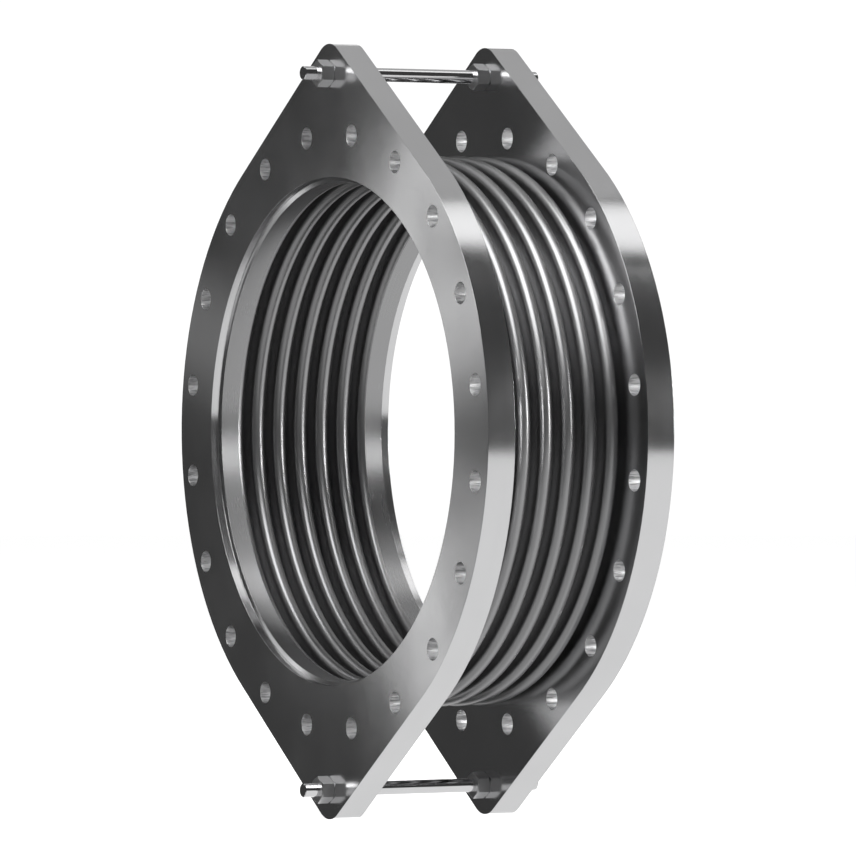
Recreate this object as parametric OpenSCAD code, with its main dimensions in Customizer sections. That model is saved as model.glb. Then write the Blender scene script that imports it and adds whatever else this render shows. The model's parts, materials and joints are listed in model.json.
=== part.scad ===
// Axial expansion joint for a pipe: a corrugated steel bellows between two drilled plate flanges.
// Two rods run through ears above and below the pipe. Nuts clamp each rod to the fixed flange,
// and the sliding flange travels along the rods between its stop nuts and the fixed flange.
// The pipe axis is Y and the ears point along Z. Y = 0 is midway between the flanges.
// All sizes are in millimetres.

/* [Flanges] */
// Outside diameter of the round part of each flange
flange_d = 645; // [500:5:800]
// Thickness of each flange
flange_t = 30; // [20:1:45]
// Distance from the rim to the centre of each bolt hole
bolt_edge = 22.5; // [18:0.5:30]
// Number of bolt holes in each flange
bolt_count = 20; // [8:4:28]
// Diameter of each bolt hole
bolt_hole_d = 22; // [14:1:28]
// Width of the flat gasket face, from the rim to the recess
face_w = 66.5; // [60:0.5:90]

/* [Weld seat] */
// Depth of the straight wall of the recess in the gasket face
recess_depth = 8.5; // [4:0.5:14]
// Depth of the sloping weld seam at the bottom of the recess
seam_depth = 1.7; // [1:0.1:3]
// Width of the weld seam, from the recess wall to the cuff
seam_w = 4; // [2.5:0.5:6]

/* [Ears] */
// Distance from the rim to the centre of each rod
rod_reach = 37.5; // [30:0.5:50]
// Radius of the rounded tip of each ear
ear_r = 30; // [22:1:40]
// Diameter of the hole that each rod runs through
ear_hole_d = 16; // [15:0.5:20]

/* [Bellows] */
// Number of convolutions
convolutions = 6; // [3:1:10]
// Length of one convolution along the pipe
pitch = 25; // [20:0.5:32]
// Height of one convolution, from its root to its crest
wave_h = 27; // [18:0.5:30]
// Thickness of the bellows wall
wall_t = 1.5; // [1:0.1:2.5]

/* [Rods and nuts] */
// Diameter of each rod
rod_d = 14; // [10:0.5:14.5]
// Length of rod that stands out past each gasket face
rod_overhang = 30; // [20:1:45]
// Width of each nut across its flats
nut_af = 24; // [22:0.5:30]
// Height of each nut
nut_h = 14; // [8:0.5:18]
// Angle of the chamfer on the corners of each nut
nut_chamfer = 30; // [15:1:35]

/* [Hidden] */
$fn = 96;
// Play between a nut's thread and its rod, and between the cuff and its seat
play = 0.05;
eps = 1;
flange_r = flange_d / 2;
recess_r = flange_r - face_w;
cuff_r = recess_r - seam_w;
seat_r = cuff_r + wall_t + play;
seat_depth = recess_depth + seam_depth + 0.2;
bolt_circle_r = flange_r - bolt_edge;
rod_offset = flange_r + rod_reach;
// Angle from the ear's centre line to the point where its flank meets the round rim
flank_angle = acos((flange_r - ear_r) / rod_offset);
// Each flank runs this far inside the tangent line, so that it crosses both rounds cleanly
flank_in = 0.05;
half_gap = convolutions * pitch / 2;
face_y = half_gap + flange_t;
cuff_len = flange_t - seat_depth - play;
fold_r = pitch / 4;
root_c = cuff_r + wall_t / 2 + fold_r;
crest_c = cuff_r + wave_h - wall_t / 2 - fold_r;
nut_corner_r = nut_af / 2 / cos(30);

steel = [0.62, 0.62, 0.63];
bright_steel = [0.72, 0.72, 0.73];
nut_steel = [0.5, 0.5, 0.51];

// One ear as a plate: two straight flanks from the round rim to a rounded tip
module ear() {
    rim = flange_r - flank_in;
    tip = ear_r - flank_in;
    linear_extrude(height = flange_t)
        polygon([
            [0, rim / 2],
            [-rim * sin(flank_angle), rim * cos(flank_angle)],
            [-tip * sin(flank_angle), rod_offset + tip * cos(flank_angle)],
            [tip * sin(flank_angle), rod_offset + tip * cos(flank_angle)],
            [rim * sin(flank_angle), rim * cos(flank_angle)]
        ]);
    translate([0, rod_offset, 0]) cylinder(h = flange_t, r = ear_r);
}

// Straight hole of diameter d through a flange, at radius r from the pipe axis
module hole(r, d) {
    translate([0, r, -eps]) cylinder(h = flange_t + 2 * eps, d = d);
}

// Opening through a flange: the recess, the sloping weld seam and the seat of the cuff
module flange_bore() {
    rotate_extrude() polygon([
        [0, -eps],
        [recess_r, -eps],
        [recess_r, recess_depth],
        [cuff_r, recess_depth + seam_depth],
        [cuff_r, seat_depth],
        [seat_r, seat_depth],
        [seat_r, flange_t + eps],
        [0, flange_t + eps]
    ]);
}

// One flange, with its gasket face towards +Y
module flange() {
    translate([0, face_y, 0]) rotate([90, 0, 0])
        difference() {
            union() {
                cylinder(h = flange_t, r = flange_r);
                ear();
                rotate(180) ear();
            }
            flange_bore();
            for (i = [0 : bolt_count - 1])
                rotate((i + 0.5) * 360 / bolt_count) hole(bolt_circle_r, bolt_hole_d);
            hole(rod_offset, ear_hole_d);
            rotate(180) hole(rod_offset, ear_hole_d);
        }
}

// Half of a rolled fold in section, on the side given by s: 1 for a crest, -1 for a root
module fold(s) {
    intersection() {
        difference() {
            circle(r = fold_r + wall_t / 2);
            circle(r = fold_r - wall_t / 2);
        }
        translate([s > 0 ? 0 : -2 * fold_r, -2 * fold_r]) square([2 * fold_r, 4 * fold_r]);
    }
}

// Quarter of a root fold, where the first or last convolution leaves its cuff
module end_fold() {
    intersection() {
        fold(-1);
        translate([-2 * fold_r, -2 * fold_r]) square([2 * fold_r, 2 * fold_r]);
    }
}

// Section of the bellows: cuff, folds and flanks, then cuff, with the radius along X
module bellows_section() {
    for (i = [0 : convolutions - 1]) {
        y = -half_gap + (i + 0.5) * pitch;
        translate([crest_c, y]) fold(1);
        for (s = [-1, 1])
            translate([root_c, y + s * fold_r - wall_t / 2]) square([crest_c - root_c, wall_t]);
        if (i > 0) translate([root_c, y - pitch / 2]) fold(-1);
    }
    for (s = [0, 1]) mirror([0, s]) {
        translate([root_c, half_gap]) end_fold();
        translate([cuff_r, half_gap]) square([wall_t, cuff_len]);
    }
}

module bellows() {
    color(bright_steel)
        rotate([90, 0, 0]) rotate_extrude() bellows_section();
}

module fixed_flange() {
    color(steel) flange();
}

module sliding_flange() {
    color(steel) mirror([0, 1, 0]) flange();
}

// Plain round rod with bevelled ends, s is 1 above the pipe and -1 below it
module rod(s) {
    reach = face_y + rod_overhang;
    bevel = rod_d / 20;
    translate([0, reach, s * rod_offset]) rotate([90, 0, 0])
        rotate_extrude() polygon([
            [0, 0],
            [rod_d / 2 - bevel, 0],
            [rod_d / 2, bevel],
            [rod_d / 2, 2 * reach - bevel],
            [rod_d / 2 - bevel, 2 * reach],
            [0, 2 * reach]
        ]);
}

// Hexagon nut with its corners up and down, from y to y + nut_h on the rod on side s
module nut(y, s) {
    translate([0, y + nut_h, s * rod_offset]) rotate([90, 0, 0])
        difference() {
            intersection() {
                rotate(30) cylinder(h = nut_h, r = nut_corner_r, $fn = 6);
                nut_cone();
                translate([0, 0, nut_h]) mirror([0, 0, 1]) nut_cone();
            }
            translate([0, 0, -eps]) cylinder(h = nut_h + 2 * eps, r = rod_d / 2 + play);
        }
}

// Cone that cuts the chamfer on one end of a nut
module nut_cone() {
    rise = 2 * nut_h;
    cylinder(h = rise, r1 = nut_af / 2 * 0.97, r2 = nut_af / 2 * 0.97 + rise / tan(nut_chamfer));
}

module tie_rod_top() {
    color(bright_steel) rod(1);
}

module tie_rod_bottom() {
    color(bright_steel) rod(-1);
}

module stop_nut_top() {
    color(nut_steel) nut(-face_y - nut_h, 1);
}

module stop_nut_bottom() {
    color(nut_steel) nut(-face_y - nut_h, -1);
}

module inner_nut_top() {
    color(nut_steel) nut(half_gap - nut_h, 1);
}

module inner_nut_bottom() {
    color(nut_steel) nut(half_gap - nut_h, -1);
}

module outer_nut_top() {
    color(nut_steel) nut(face_y, 1);
}

module outer_nut_bottom() {
    color(nut_steel) nut(face_y, -1);
}

fixed_flange();
sliding_flange();
bellows();
tie_rod_top();
tie_rod_bottom();
stop_nut_top();
stop_nut_bottom();
inner_nut_top();
inner_nut_bottom();
outer_nut_top();
outer_nut_bottom();
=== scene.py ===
"""Axial expansion joint for a pipe, dressed over its CAD frame, in metres.

The pipe axis is Y, with the fixed flange at +Y and the sliding flange at -Y. The ears point along Z.
"""

import json
import math

import bpy
import numpy as np
from bpy.props import FloatProperty, FloatVectorProperty, IntProperty, PointerProperty
from mathutils import Matrix, Quaternion, Vector


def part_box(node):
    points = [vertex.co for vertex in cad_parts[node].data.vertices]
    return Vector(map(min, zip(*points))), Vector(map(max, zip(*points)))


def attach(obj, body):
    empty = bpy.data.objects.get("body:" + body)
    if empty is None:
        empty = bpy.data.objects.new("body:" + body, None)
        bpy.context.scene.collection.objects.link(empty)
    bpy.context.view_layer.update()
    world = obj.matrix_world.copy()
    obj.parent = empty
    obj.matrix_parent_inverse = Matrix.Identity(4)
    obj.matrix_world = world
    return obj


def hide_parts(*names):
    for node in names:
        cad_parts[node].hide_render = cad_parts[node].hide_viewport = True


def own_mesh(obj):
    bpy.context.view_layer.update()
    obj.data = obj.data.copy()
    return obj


bl_info = {
    "name": "Axial Expansion Joint",
    "version": (1, 0, 0),
    "blender": (4, 5, 0),
    "location": "View3D > Sidebar > Expansion Joint",
    "description": "Dresses a flanged steel bellows joint with its folds, finishes and studio",
    "category": "Object",
}

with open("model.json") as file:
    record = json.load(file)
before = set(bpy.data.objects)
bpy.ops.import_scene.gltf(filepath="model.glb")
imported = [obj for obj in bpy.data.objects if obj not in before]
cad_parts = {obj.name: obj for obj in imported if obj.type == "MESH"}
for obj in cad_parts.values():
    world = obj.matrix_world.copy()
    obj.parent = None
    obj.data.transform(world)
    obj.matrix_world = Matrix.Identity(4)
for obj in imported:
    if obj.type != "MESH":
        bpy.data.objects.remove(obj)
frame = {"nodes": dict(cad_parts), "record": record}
bpy.context.view_layer.update()
BELLOWS_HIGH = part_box("bellows")[1]
FLANGE_LOW, FLANGE_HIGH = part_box("fixed_flange")
BOLTS = frame["record"]["mounts"][0]["dims"]

# Sizes and finishes

WAVE_HEIGHT = 0.027


class BellowsSizes(bpy.types.PropertyGroup):
    """Sizes and finish of the rolled bellows."""

    convolutions: IntProperty(
        name="Convolutions", description="Number of convolutions", default=6, min=1)
    pitch: FloatProperty(
        name="Pitch", description="Length of one convolution", default=0.025, unit="LENGTH")
    wave_height: FloatProperty(
        name="Wave height", description="Height from root to crest",
        default=WAVE_HEIGHT, unit="LENGTH")
    wall: FloatProperty(
        name="Wall", description="Thickness of the wall", default=0.0015, unit="LENGTH")
    bore_radius: FloatProperty(
        name="Bore radius", description="Inner radius of the cuffs",
        default=BELLOWS_HIGH[2] - WAVE_HEIGHT, unit="LENGTH")
    around: IntProperty(
        name="Steps around", description="Steps of the surface round the pipe",
        default=240, min=24)
    colour: FloatVectorProperty(
        name="Colour", description="Colour of the rolled folds",
        default=(0.36, 0.36, 0.364), subtype="COLOR", size=3, min=0, max=1)
    roughness: FloatProperty(
        name="Roughness", description="Roughness of the rolled folds",
        default=0.36, subtype="FACTOR", min=0, max=1)
    cuff_colour: FloatVectorProperty(
        name="Cuff colour", description="Colour of the two plain ends",
        default=(0.38, 0.38, 0.3838), subtype="COLOR", size=3, min=0, max=1)
    cuff_roughness: FloatProperty(
        name="Cuff roughness", description="Roughness of the two plain ends",
        default=0.25, subtype="FACTOR", min=0, max=1)


class FlangeFinish(bpy.types.PropertyGroup):
    """Finish of the two turned flanges."""

    colour: FloatVectorProperty(
        name="Colour", description="Colour of the turned steel",
        default=(0.74, 0.74, 0.747), subtype="COLOR", size=3, min=0, max=1)
    roughness: FloatProperty(
        name="Roughness", description="Roughness of the turned steel",
        default=0.17, subtype="FACTOR", min=0, max=1)
    lathe_stretch: FloatProperty(
        name="Lathe stretch", description="How far highlights stretch across the lathe marks",
        default=0.5, subtype="FACTOR", min=0, max=1)
    edge: FloatProperty(
        name="Edge", description="Width of the broken edge", default=0.0006, unit="LENGTH")


class FastenerFinish(bpy.types.PropertyGroup):
    """Finish of the rods and nuts."""

    rod_colour: FloatVectorProperty(
        name="Rod colour", description="Colour of the drawn rods",
        default=(0.78, 0.78, 0.787), subtype="COLOR", size=3, min=0, max=1)
    rod_roughness: FloatProperty(
        name="Rod roughness", description="Roughness of the drawn rods",
        default=0.08, subtype="FACTOR", min=0, max=1)
    nut_colour: FloatVectorProperty(
        name="Nut colour", description="Colour of the nuts",
        default=(0.65, 0.65, 0.656), subtype="COLOR", size=3, min=0, max=1)
    nut_roughness: FloatProperty(
        name="Nut roughness", description="Roughness of the nuts",
        default=0.3, subtype="FACTOR", min=0, max=1)
    nut_edge: FloatProperty(
        name="Nut edge", description="Width of the nuts' broken edge",
        default=0.0004, unit="LENGTH")


class StudioSettings(bpy.types.PropertyGroup):
    """Brightness of the room, and the camera's lens."""

    floor_glow: FloatProperty(
        name="Floor glow", description="Light that the floor gives back", default=0.95, min=0)
    backdrop: FloatProperty(
        name="Backdrop", description="Brightness that the camera sees behind the joint",
        default=1.05, min=0)
    walls: FloatProperty(
        name="Walls", description="Brightness of the walls round the studio",
        default=0.046, min=0)
    lens: FloatProperty(
        name="Lens", description="Focal length of the camera in millimetres",
        default=295.64, min=10)


GROUPS = {
    "joint_bellows": BellowsSizes,
    "joint_flanges": FlangeFinish,
    "joint_fasteners": FastenerFinish,
    "joint_studio": StudioSettings,
}

# Surfaces

ROOT_POINTS, CREST_POINTS, FLANK_POINTS = 7, 15, 4
SHARP_ANGLE = math.radians(40)


def bellows_skin(sizes, side):
    """Radius and height along the pipe of one skin of the folds, from +Y to -Y.

    The wall's middle line is a row of half circles, crests out and roots in, joined by straight
    flanks. A skin lies half a wall to the outside (side 1) or the inside (side -1) of that line,
    so its circles have the middle radius plus or minus half a wall.
    """
    fold = sizes.pitch / 4
    half = sizes.wall / 2
    root = sizes.bore_radius + half + fold
    crest = sizes.bore_radius + sizes.wave_height - half - fold
    root_arc = np.linspace(math.pi, math.pi / 2, ROOT_POINTS)
    crest_arc = np.linspace(math.pi / 2, -math.pi / 2, CREST_POINTS)
    flank = np.linspace(0, 1, FLANK_POINTS)[1:-1]
    root_r = fold - side * half
    crest_r = fold + side * half
    top = np.column_stack([root + root_r * np.cos(root_arc),
                           sizes.pitch / 2 - root_r * np.sin(root_arc)])
    rise = np.column_stack([root + (crest - root) * flank, np.full(len(flank), crest_r)])
    crown = np.column_stack([crest + crest_r * np.cos(crest_arc), crest_r * np.sin(crest_arc)])
    one = np.vstack([top, rise, crown, rise[::-1] * [1, -1], top[::-1] * [1, -1]])
    middles = (np.arange(sizes.convolutions)[::-1] + 0.5 - sizes.convolutions / 2) * sizes.pitch
    return np.vstack([one[:-1] + [0, y] for y in middles] + [one[-1:] + [0, middles[-1]]])


def turned(name, section, around):
    """A closed section of radius and height, turned once round the pipe axis.

    Point (i, j) is (r_i sin a_j, y_i, r_i cos a_j) with a_j evenly spaced round the circle.
    The section runs clockwise with the radius to the right and Y up, so faces point outwards.
    """
    angle = np.arange(around) * 2 * math.pi / around
    r, y = section[:, 0:1], section[:, 1:2]
    points = np.stack([r * np.sin(angle), y + 0 * angle, r * np.cos(angle)], axis=-1)
    rows, columns = np.meshgrid(np.arange(len(section)), np.arange(around), indexing="ij")
    next_row, next_column = (rows + 1) % len(section), (columns + 1) % around
    quads = np.stack([rows * around + columns, next_row * around + columns,
                      next_row * around + next_column, rows * around + next_column], axis=-1)
    return surface(name, points.reshape(-1, 3), quads.reshape(-1, 4))


def surface(name, points, quads):
    """A smooth mesh object from arrays of points and four-cornered faces."""
    mesh = bpy.data.meshes.new(name)
    mesh.vertices.add(len(points))
    mesh.vertices.foreach_set("co", np.asarray(points, np.float32).ravel())
    mesh.loops.add(quads.size)
    mesh.loops.foreach_set("vertex_index", np.asarray(quads, np.int32).ravel())
    mesh.polygons.add(len(quads))
    mesh.polygons.foreach_set("loop_start", np.arange(0, quads.size, 4, dtype=np.int32))
    mesh.polygons.foreach_set("use_smooth", np.ones(len(quads), bool))
    mesh.update(calc_edges=True)
    mesh.validate()
    mesh.set_sharp_from_angle(angle=SHARP_ANGLE)
    return placed(name, mesh)


def placed(name, data):
    """A new object in the scene for a mesh, a light or a camera."""
    made = bpy.data.objects.new(name, data)
    bpy.context.scene.collection.objects.link(made)
    return made


# Finishes

# The noise textures lie mostly between these two values.
NOISE_LOW, NOISE_HIGH = 0.3, 0.7
CLOUD_TONE, LINE_TONE = 0.03, 0.012
LINE_ROUGHNESS, LEAST_ROUGHNESS = 0.015, 0.02
# How much the fine grain adds to the bump beside the lines
GRAIN_SHARE = 0.3
# Roughness of the flange's rim and of its drilled holes, as a share of the faces' roughness
RIM_ROUGHNESS, HOLE_ROUGHNESS = 0.95, 2.1
# Tone of the drill's dark and bright scores, as a share of the steel's colour. The bright score is
# set high, so on the whole the hole walls come out lighter than the steel: painted light that stands
# in for light reaching into the holes.
DARK_SCORE, BRIGHT_SCORE_AND_PAINTED_LIGHT = 0.75, 1.65
# Distance from the bolt circle within which a wall belongs to a bolt hole
HOLE_REACH = BOLTS["hole_r_mm"] / 1000 + 0.0015


def new_material(name):
    """An empty node material with its shader and output."""
    material = bpy.data.materials.new(name)
    material.use_nodes = True
    tree = material.node_tree
    tree.nodes.clear()
    shader = tree.nodes.new("ShaderNodeBsdfPrincipled")
    output = tree.nodes.new("ShaderNodeOutputMaterial")
    tree.links.new(shader.outputs["BSDF"], output.inputs["Surface"])
    return material, tree, shader


def node(tree, kind, settings=None, **inputs):
    """A node with its settings, and its inputs given as values or as links.

    An input goes by its name, or by its number as i0, i1 and so on.
    """
    made = tree.nodes.new(kind)
    for key, value in (settings or {}).items():
        setattr(made, key, value)
    for key, value in inputs.items():
        by_number = key[0] == "i" and key[1:].isdigit()
        socket = made.inputs[int(key[1:]) if by_number else key]
        if isinstance(value, bpy.types.NodeSocket):
            tree.links.new(value, socket)
        else:
            socket.default_value = value
    return made


def math_node(tree, operation, first, second=0.0):
    """One sum on two values."""
    return node(tree, "ShaderNodeMath", {"operation": operation}, i0=first, i1=second).outputs[0]


def vector_node(tree, operation, vector, **inputs):
    """One sum on a vector or a colour."""
    settings = {"operation": operation}
    return node(tree, "ShaderNodeVectorMath", settings, i0=vector, **inputs).outputs[0]


def span(tree, value, low, high, to_low, to_high):
    """Carries a value from one span to another."""
    spanned = node(tree, "ShaderNodeMapRange", i0=value, i1=low, i2=high, i3=to_low, i4=to_high)
    return spanned.outputs[0]


def drift(tree, cloud, middle, swing):
    """Carries a noise to a middle value plus or minus a swing."""
    return span(tree, cloud, NOISE_LOW, NOISE_HIGH, middle - swing, middle + swing)


def noise(tree, place, scale, detail, roughness=0.5):
    """Noise on a place, with its scale per metre."""
    return node(tree, "ShaderNodeTexNoise", Vector=place, Scale=scale, Detail=detail,
                Roughness=roughness).outputs["Fac"]


def object_place(tree):
    """The place on the piece, in object coordinates."""
    return node(tree, "ShaderNodeTexCoord").outputs["Object"]


def drawn_place(tree, share):
    """The place with its Y cut to a share, which draws a pattern out along the pipe."""
    return vector_node(tree, "MULTIPLY", object_place(tree), i1=(1.0, share, 1.0))


def pipe_place(tree):
    """The place's x, y and z, and its radius from the pipe axis."""
    x, y, z = node(tree, "ShaderNodeSeparateXYZ", i0=object_place(tree)).outputs
    squares = math_node(tree, "ADD", math_node(tree, "MULTIPLY", x, x),
                        math_node(tree, "MULTIPLY", z, z))
    return x, y, z, math_node(tree, "SQRT", squares)


def ring_lines(tree, radius, y, scale):
    """Noise drawn out round the pipe: it changes with radius and height, and not with angle."""
    place = node(tree, "ShaderNodeCombineXYZ", i0=radius, i1=y, i2=0.0).outputs[0]
    return noise(tree, place, scale, 3.0, 0.7)


def steel(tree, colour, roughness, lines, depth, spread=0.035):
    """The colour, the roughness and the bump node of a steel with fine lines of some depth.

    The colour is the base colour times 1 plus a few per cent of cloudy noise and of the lines.
    The roughness is the base value plus the same noise within its spread, and a little of the
    lines. The lines and a fine grain give the bump.
    """
    place = object_place(tree)
    cloud = noise(tree, place, 9.0, 4.0, 0.55)
    grain = noise(tree, place, 900.0, 2.0)
    tone = math_node(tree, "ADD", drift(tree, cloud, 1.0, CLOUD_TONE),
                     drift(tree, lines, 0.0, LINE_TONE))
    shade = vector_node(tree, "SCALE", tuple(colour), Scale=tone)
    rough = math_node(tree, "ADD", drift(tree, cloud, roughness, spread),
                      drift(tree, lines, 0.0, LINE_ROUGHNESS))
    rough = math_node(tree, "MAXIMUM", rough, LEAST_ROUGHNESS)
    height = math_node(tree, "ADD", math_node(tree, "MULTIPLY", grain, GRAIN_SHARE), lines)
    bump = node(tree, "ShaderNodeBump", Height=height, Distance=depth, Strength=1.0)
    return shade, rough, bump


def join_steel(tree, shader, shade, rough, bump):
    """Joins a steel's colour, roughness and bump to its shader, as bare metal."""
    tree.links.new(shade, shader.inputs["Base Color"])
    tree.links.new(rough, shader.inputs["Roughness"])
    tree.links.new(bump.outputs[0], shader.inputs["Normal"])
    shader.inputs["Metallic"].default_value = 1.0


def break_edges(tree, bump, width):
    """Lets a piece's edges catch the light over a width, as edges broken with a file do."""
    bevel = node(tree, "ShaderNodeBevel", {"samples": 4}, Radius=width)
    tree.links.new(bevel.outputs[0], bump.inputs["Normal"])


def face_mask(tree):
    """1 on the flat faces, whose normal runs along the pipe, and 0 elsewhere."""
    normal = node(tree, "ShaderNodeNewGeometry").outputs["True Normal"]
    along = node(tree, "ShaderNodeSeparateXYZ", i0=normal).outputs[1]
    return math_node(tree, "GREATER_THAN", math_node(tree, "ABSOLUTE", along), 0.7)


def hole_mask(tree, radius, on_face):
    """1 on the walls of the bolt holes, which lie near the bolt circle and off the faces."""
    near_circle = math_node(tree, "COMPARE", radius, BOLTS["pcd_mm"] / 2000)
    near_circle.node.inputs[2].default_value = HOLE_REACH
    return math_node(tree, "MULTIPLY", near_circle, math_node(tree, "SUBTRACT", 1.0, on_face))


def drill_scores_and_painted_light(tree, drilled):
    """A share for the colour: the drill's dark and bright scores in the holes, and 1 elsewhere. On
    the whole the share is above 1, which lifts the hole walls to a lighter tone as painted light.
    """
    scores = noise(tree, drawn_place(tree, 0.12), 420.0, 2.0, 0.6)
    scored_and_painted_light = span(tree, scores, 0.38, 0.6, DARK_SCORE, BRIGHT_SCORE_AND_PAINTED_LIGHT)
    change = math_node(tree, "MULTIPLY", drilled, math_node(tree, "SUBTRACT", scored_and_painted_light, 1.0))
    return math_node(tree, "ADD", 1.0, change)


def across_lathe_marks(tree, x, z, on_face):
    """The direction across the marks: along the radius on the faces, and along Y elsewhere."""
    outward = node(tree, "ShaderNodeCombineXYZ", i0=x, i1=0.0, i2=z).outputs[0]
    across = node(tree, "ShaderNodeMix", {"data_type": "VECTOR"},
                  i0=on_face, i4=(0.0, 1.0, 0.0), i5=outward)
    return across.outputs[1]


def flange_steel(finish):
    """Turned steel plate: lathe marks round the pipe, and highlights that stretch across them.

    The rim is a little smoother than the faces, and the drilled holes are rougher and scored, with
    their walls painted lighter as painted light.
    """
    material, tree, shader = new_material("turned_flange_steel")
    x, y, z, radius = pipe_place(tree)
    lines = ring_lines(tree, radius, y, 1400.0)
    shade, rough, bump = steel(tree, finish.colour, finish.roughness, lines, 0.000012)
    break_edges(tree, bump, finish.edge)
    on_face = face_mask(tree)
    drilled = hole_mask(tree, radius, on_face)
    share = math_node(tree, "MULTIPLY", span(tree, on_face, 0.0, 1.0, RIM_ROUGHNESS, 1.0),
                      span(tree, drilled, 0.0, 1.0, 1.0, HOLE_ROUGHNESS))
    rough = math_node(tree, "MULTIPLY", rough, share)
    # Painted light: besides the real drill scores, this share lifts the hole walls to a lighter tone
    # than the steel's own colour.
    shade = vector_node(tree, "SCALE", shade, Scale=drill_scores_and_painted_light(tree, drilled))
    join_steel(tree, shader, shade, rough, bump)
    tree.links.new(across_lathe_marks(tree, x, z, on_face), shader.inputs["Tangent"])
    shader.inputs["Anisotropic"].default_value = finish.lathe_stretch
    return material


def bellows_steel(name, colour, roughness):
    """Bright rolled sheet: faint roller lines round the pipe and a soft sheen."""
    material, tree, shader = new_material(name)
    _, y, _, radius = pipe_place(tree)
    lines = ring_lines(tree, radius, y, 900.0)
    join_steel(tree, shader, *steel(tree, colour, roughness, lines, 0.00001))
    return material


def rod_steel(finish):
    """Bright drawn rod: hair lines along its length."""
    material, tree, shader = new_material("drawn_rod_steel")
    lines = noise(tree, drawn_place(tree, 0.02), 1800.0, 3.0, 0.7)
    join_steel(tree, shader,
               *steel(tree, finish.rod_colour, finish.rod_roughness, lines, 0.000006, 0.02))
    return material


def nut_steel(finish):
    """Plain nut steel: a fine even grain and slightly broken edges."""
    material, tree, shader = new_material("plain_nut_steel")
    lines = noise(tree, object_place(tree), 1500.0, 4.0)
    shade, rough, bump = steel(
        tree, finish.nut_colour, finish.nut_roughness, lines, 0.00001, 0.03)
    break_edges(tree, bump, finish.nut_edge)
    join_steel(tree, shader, shade, rough, bump)
    return material


def dress(names, material):
    """Gives CAD nodes their finish."""
    for name in names:
        mesh = frame["nodes"][name].data
        mesh.materials.clear()
        mesh.materials.append(material)


# Floor, light and camera

FLOOR_RADIUS, FLOOR_SIDES, FLOOR_DROP = 14, 96, 0.0005
WHITE = (1, 1, 1, 1)
# The camera's direction, its distance and the point that it looks at, to the right of the middle,
# above it and along the pipe. They were fitted to the bolt holes.
VIEW_AZIMUTH, VIEW_RISE = 60.6515, 0.3025
VIEW_DISTANCE, VIEW_RIGHT, VIEW_UP, VIEW_ALONG = 7.11246, 0.021372, 0.003460, -0.015224
# A face lamp's picture lies this far from the pipe axis, and the lamp this far from its picture.
FACE_SPOT, FACE_LAMP_DISTANCE = 0.34, 1.15
FACE_LAMP_WIDTH, FACE_LAMP_LENGTH = 0.1, 0.3


def stand(azimuth, rise, distance):
    """A place round the joint: azimuth 0 is in front, at -Y, and 90 at +X; rise is upwards."""
    turn, lift = math.radians(azimuth), math.radians(rise)
    return distance * Vector((math.sin(turn) * math.cos(lift), -math.cos(turn) * math.cos(lift),
                              math.sin(lift)))


def face_lamp(name, angle, power):
    """A narrow lamp that shows up in the front face at an angle from the top, for the camera.

    The line of sight meets the face at that angle, is turned back by it as by a mirror, and then
    meets the lamp. The lamp leans so that its picture in the face lies along the radius.
    """
    turn = math.radians(angle)
    spot = Vector((FACE_SPOT * math.sin(turn), -FLANGE_HIGH[1], FACE_SPOT * math.cos(turn)))
    across = math.cos(math.radians(VIEW_AZIMUTH))
    onward = Vector((-math.sin(math.radians(VIEW_AZIMUTH)), -across, 0))
    lean = -math.degrees(math.atan2(math.sin(turn) * across, math.cos(turn)))
    place = spot + FACE_LAMP_DISTANCE * onward
    return name, place, spot, FACE_LAMP_WIDTH, FACE_LAMP_LENGTH, power, lean


# Each light's name, place and aim, its width and height, its power for each square metre and, in
# a face lamp, its lean. The two ground lights lie far below the floor, which reflections don't
# show and which casts no shadow.
MIDDLE = (0, 0, 0)
LIGHTS = (
    ("ground_light", (2.4, 13.2, -3.1), (2.4, 13.2, 0), 45.6, 26.4, 2.4),
    ("front_ground_light", (11.4, -3.6, -3.1), (11.4, -3.6, 0), 27.6, 7.2, 1.65),
    ("rim_light", stand(158, 57, 4), MIDDLE, 1.2, 1.1, 3.5),
    ("back_light", stand(150, 40, 4.2), MIDDLE, 1.0, 1.0, 3.7),
    ("top_light", stand(60, 60, 4), MIDDLE, 3.7, 4.2, 11.5),
    ("high_back_light", stand(215, 45, 4), MIDDLE, 2.5, 4.0, 1.24),
    ("high_left_light", stand(300, 60, 4), MIDDLE, 3.0, 3.0, 1.8),
    ("side_lamp", stand(142, 7, 4), MIDDLE, 0.5, 1.0, 74.0),
    ("left_lamp", stand(240, 0, 4), MIDDLE, 0.5, 6.0, 2.6),
    face_lamp("upper_lamp", 38, 2.8),
    face_lamp("upper_side_lamp", 70, 1.9),
    face_lamp("lower_side_lamp", 108, 1.1),
    face_lamp("lower_lamp", 138, 2.8),
    face_lamp("left_face_lamp", -72, 0.52),
)
# Lights that the cuffs receive through the far opening and that pass all other pieces by, with
# the cuffs that each falls on.
CUFF_LIGHTS = (
    ("cuff_lamp", (2.67, 1.67, 0.55), (-0.25, 0, -0.02), 0.6, 0.7, 6.5,
     ("fixed_cuff", "sliding_cuff")),
    ("cuff_fill", (0.25, 2, 2.25), (0.25, 0, 2.25), 7.5, 4.5, 1.5, ("sliding_cuff",)),
)


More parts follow.
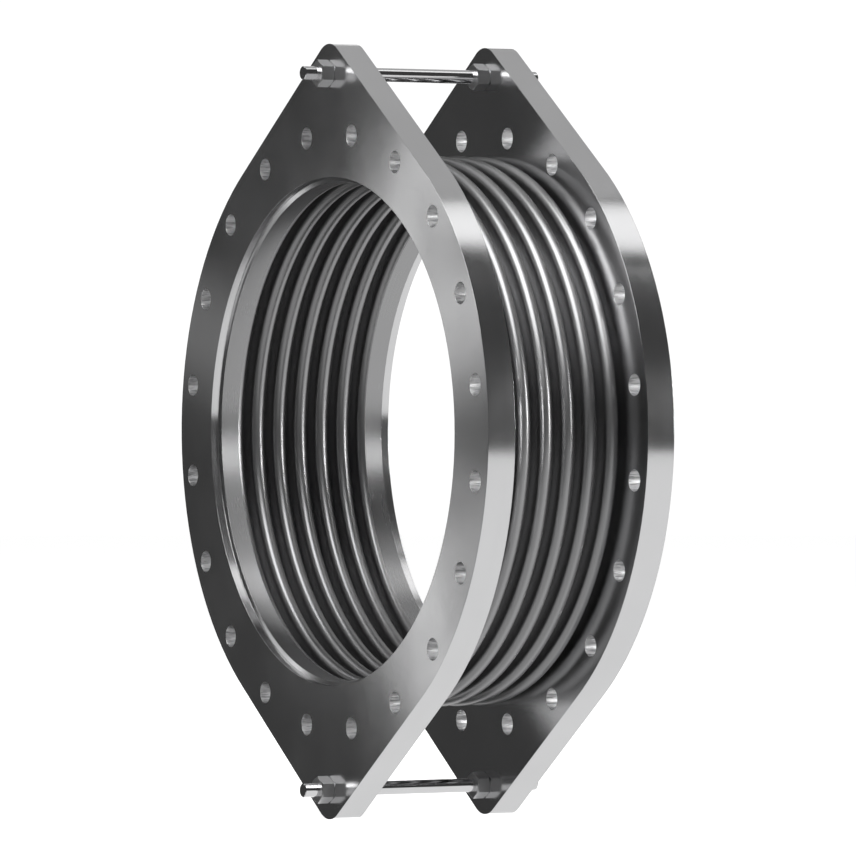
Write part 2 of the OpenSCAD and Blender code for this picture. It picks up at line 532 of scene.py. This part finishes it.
def make_floor(settings):
    """A round pale floor just under the lower ears."""
    turn = np.linspace(0, 2 * math.pi, FLOOR_SIDES, endpoint=False)
    rim = np.column_stack([FLOOR_RADIUS * np.cos(turn), FLOOR_RADIUS * np.sin(turn),
                           0 * turn + FLANGE_LOW[2] - FLOOR_DROP])
    mesh = bpy.data.meshes.new("floor")
    mesh.from_pydata(rim, [], [list(range(FLOOR_SIDES))])
    floor = placed("floor", mesh)
    material, _, shader = new_material("pale_floor")
    shader.inputs["Base Color"].default_value = (0.8, 0.8, 0.8, 1)
    shader.inputs["Roughness"].default_value = 0.9
    shader.inputs["Emission Color"].default_value = WHITE
    shader.inputs["Emission Strength"].default_value = settings.floor_glow
    mesh.materials.append(material)
    floor.visible_glossy = False
    floor.visible_shadow = False


def make_world(settings):
    """White behind the joint for the camera, and a dim even room for the reflections."""
    world = bpy.data.worlds.new("studio")
    bpy.context.scene.world = world
    world.use_nodes = True
    tree = world.node_tree
    tree.nodes.clear()
    seen = node(tree, "ShaderNodeLightPath").outputs["Is Camera Ray"]
    mix = node(tree, "ShaderNodeMix", {"data_type": "FLOAT"},
               i0=seen, i2=settings.walls, i3=settings.backdrop)
    back = node(tree, "ShaderNodeBackground", Color=WHITE, Strength=mix.outputs[0])
    output = tree.nodes.new("ShaderNodeOutputWorld")
    tree.links.new(back.outputs[0], output.inputs["Surface"])


def soft_light(name, place, aim, width, height, power, lean=0):
    """A rectangular light that faces its aim and isn't seen by the camera itself.

    Power is for each square metre, and lean turns the light clockwise as it faces its aim, in
    degrees.
    """
    data = bpy.data.lights.new(name, "AREA")
    data.shape = "RECTANGLE"
    data.size, data.size_y = width, height
    data.energy = power * width * height
    light = placed(name, data)
    light.location = place
    light.rotation_mode = "QUATERNION"
    facing = (Vector(aim) - Vector(place)).to_track_quat("-Z", "Y")
    light.rotation_quaternion = facing @ Quaternion((0, 0, 1), math.radians(lean))
    light.visible_camera = False
    return light


def light_only(light, names):
    """Lets a light fall on the named pieces alone."""
    lit = bpy.data.collections.new(light.name)
    for name in names:
        lit.objects.link(bpy.data.objects[name])
    light.light_linking.receiver_collection = lit


def make_lights():
    """The soft lights round the joint, and the two that only the cuffs receive."""
    for row in LIGHTS:
        soft_light(*row)
    for *row, names in CUFF_LIGHTS:
        light_only(soft_light(*row), names)


def make_camera(settings):
    """A long lens far away, which looks along the direction fitted to the bolt holes."""
    back = stand(VIEW_AZIMUTH, VIEW_RISE, 1)
    right = Vector((math.cos(math.radians(VIEW_AZIMUTH)), math.sin(math.radians(VIEW_AZIMUTH)), 0))
    up = back.cross(right)
    data = bpy.data.cameras.new("camera")
    data.lens, data.sensor_width = settings.lens, 36
    data.clip_start, data.clip_end = 0.5, 60
    camera = placed("camera", data)
    turn = Matrix((right, up, back)).transposed().to_4x4()
    place = back * VIEW_DISTANCE + right * VIEW_RIGHT + up * VIEW_UP + Vector((0, VIEW_ALONG, 0))
    camera.matrix_world = Matrix.Translation(place) @ turn
    bpy.context.scene.camera = camera


# Steps

class MakeBellows(bpy.types.Operator):
    """Makes the folds of the bellows and the two cuffs that sit in the flanges"""

    bl_idname = "joint.make_bellows"
    bl_label = "Bellows"

    def execute(self, context):
        sizes = context.scene.joint_bellows
        fold_finish = bellows_steel("rolled_bellows_steel", sizes.colour, sizes.roughness)
        cuff_finish = bellows_steel("cuff_steel", sizes.cuff_colour, sizes.cuff_roughness)
        inside, outside = sizes.bore_radius, sizes.bore_radius + sizes.wall
        end, cuff_end = sizes.convolutions * sizes.pitch / 2, BELLOWS_HIGH[1]
        wall = np.vstack([bellows_skin(sizes, 1), bellows_skin(sizes, -1)[::-1]])
        cuff = np.array([[outside, cuff_end], [outside, end], [inside, end], [inside, cuff_end]])
        folds = turned("bellows_folds", wall, sizes.around)
        fixed_cuff = turned("fixed_cuff", cuff, sizes.around)
        sliding_cuff = turned("sliding_cuff", (cuff * [1, -1])[::-1], sizes.around)
        for piece in (folds, fixed_cuff, sliding_cuff):
            piece.data.materials.append(fold_finish if piece is folds else cuff_finish)
            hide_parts("bellows")
        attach(fixed_cuff, "fixed_end")
        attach(sliding_cuff, "sliding_end")
        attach(folds, "fixed_end")
        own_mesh(folds)
        return {"FINISHED"}


class FinishFlanges(bpy.types.Operator):
    """Gives both flanges their turned finish"""

    bl_idname = "joint.finish_flanges"
    bl_label = "Flanges"

    def execute(self, context):
        dress(["fixed_flange", "sliding_flange"], flange_steel(context.scene.joint_flanges))
        return {"FINISHED"}


class FinishRods(bpy.types.Operator):
    """Gives both rods their drawn finish"""

    bl_idname = "joint.finish_rods"
    bl_label = "Rods"

    def execute(self, context):
        dress(["tie_rod_top", "tie_rod_bottom"], rod_steel(context.scene.joint_fasteners))
        return {"FINISHED"}


class FinishNuts(bpy.types.Operator):
    """Gives all six nuts their finish"""

    bl_idname = "joint.finish_nuts"
    bl_label = "Nuts"

    def execute(self, context):
        names = [name for name in frame["nodes"] if "_nut_" in name]
        dress(names, nut_steel(context.scene.joint_fasteners))
        return {"FINISHED"}


class SetStage(bpy.types.Operator):
    """Makes the pale floor, the soft light and the camera"""

    bl_idname = "joint.set_stage"
    bl_label = "Floor, light and camera"

    def execute(self, context):
        settings = context.scene.joint_studio
        make_floor(settings)
        make_world(settings)
        make_lights()
        make_camera(settings)
        context.scene.view_settings.view_transform = "Standard"
        return {"FINISHED"}


class JointPanel(bpy.types.Panel):
    """Lists the steps that dress the joint, and their settings."""

    bl_idname = "VIEW3D_PT_axial_joint"
    bl_label = "Expansion Joint"
    bl_space_type = "VIEW_3D"
    bl_region_type = "UI"
    bl_category = "Expansion Joint"

    def draw(self, context):
        for step in STEPS:
            self.layout.operator(step.bl_idname)
        for name in GROUPS:
            group = getattr(context.scene, name)
            box = self.layout.box()
            for key in group.bl_rna.properties.keys():
                if key not in {"rna_type", "name"}:
                    box.prop(group, key)


STEPS = (MakeBellows, FinishFlanges, FinishRods, FinishNuts, SetStage)
CLASSES = (*GROUPS.values(), *STEPS, JointPanel)


def register():
    """Registers every class and the settings on the scene."""
    for made in CLASSES:
        bpy.utils.register_class(made)
    for name, group in GROUPS.items():
        setattr(bpy.types.Scene, name, PointerProperty(type=group))


def unregister():
    """Takes the settings and classes away again."""
    for name in GROUPS:
        delattr(bpy.types.Scene, name)
    for made in reversed(CLASSES):
        bpy.utils.unregister_class(made)


def main():
    register()
    for step in STEPS:
        group, name = step.bl_idname.split(".")
        getattr(getattr(bpy.ops, group), name)()
    bpy.context.view_layer.update()


if __name__ == "__main__":
    main()
